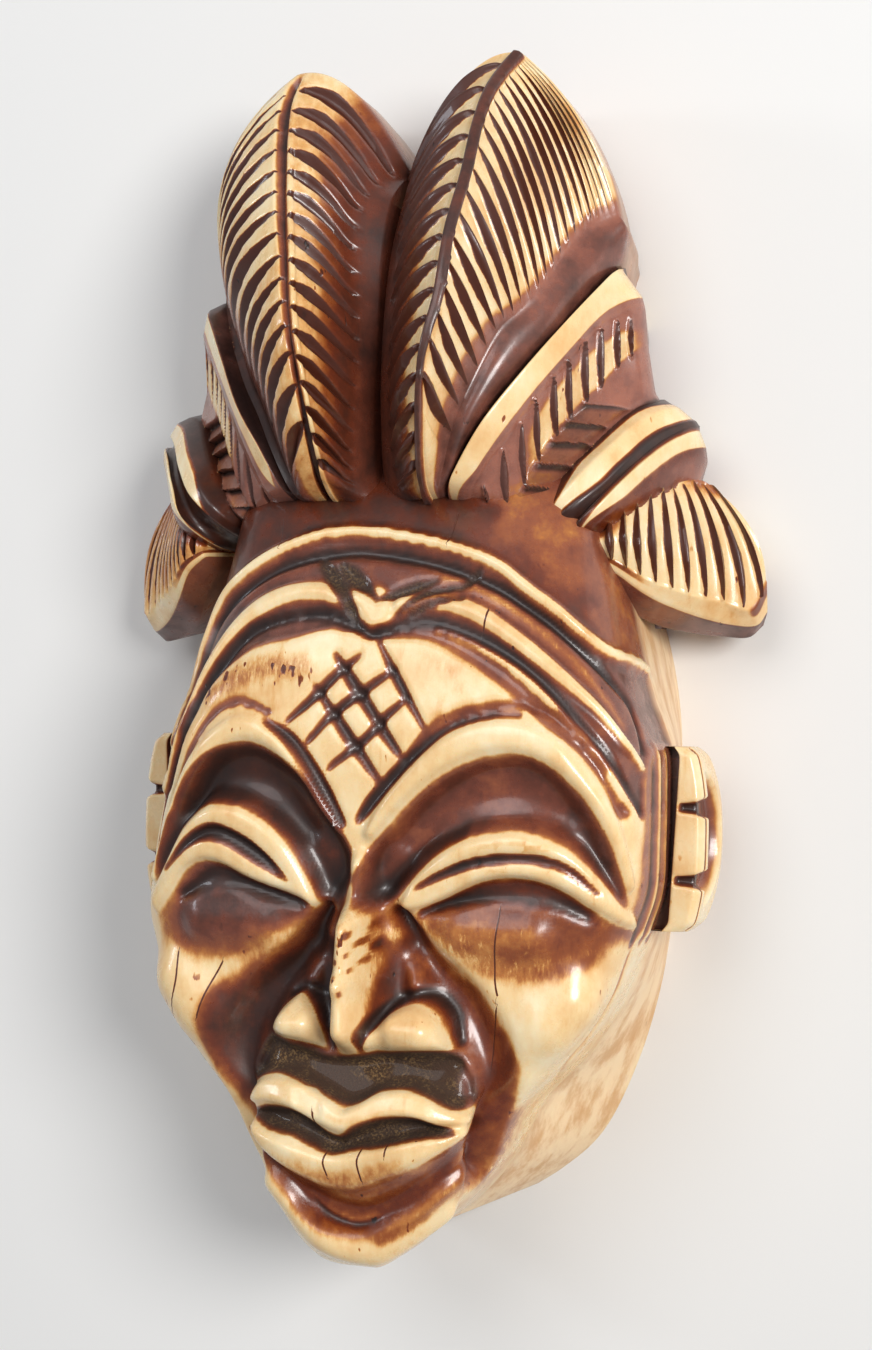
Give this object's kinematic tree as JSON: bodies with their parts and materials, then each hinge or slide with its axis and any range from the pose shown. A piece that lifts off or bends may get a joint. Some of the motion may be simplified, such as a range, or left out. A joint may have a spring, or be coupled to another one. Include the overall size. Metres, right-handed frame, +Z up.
{
  "type": "miniature carved mask",
  "caption": "Palm-sized face mask carved in one piece, with closed eyes, a forehead lattice, a headband, ears and a tall parted feather crest; lies on its flat, scooped back.",
  "frame": {"origin": "middle of the flat back, under the middle of the part's box", "axes": "+X to the viewer's right across the face, +Y from the chin to the crest, +Z up out of the face"},
  "size_m": [0.0514, 0.0896, 0.0246],
  "materials": {
    "bone": "polished aged bone, honey cream on the high places, red-brown to purple-brown stain in every cut and hollow"
  },
  "bodies": {
    "root": {"mask": "bone"}
  },
  "joints": []
}
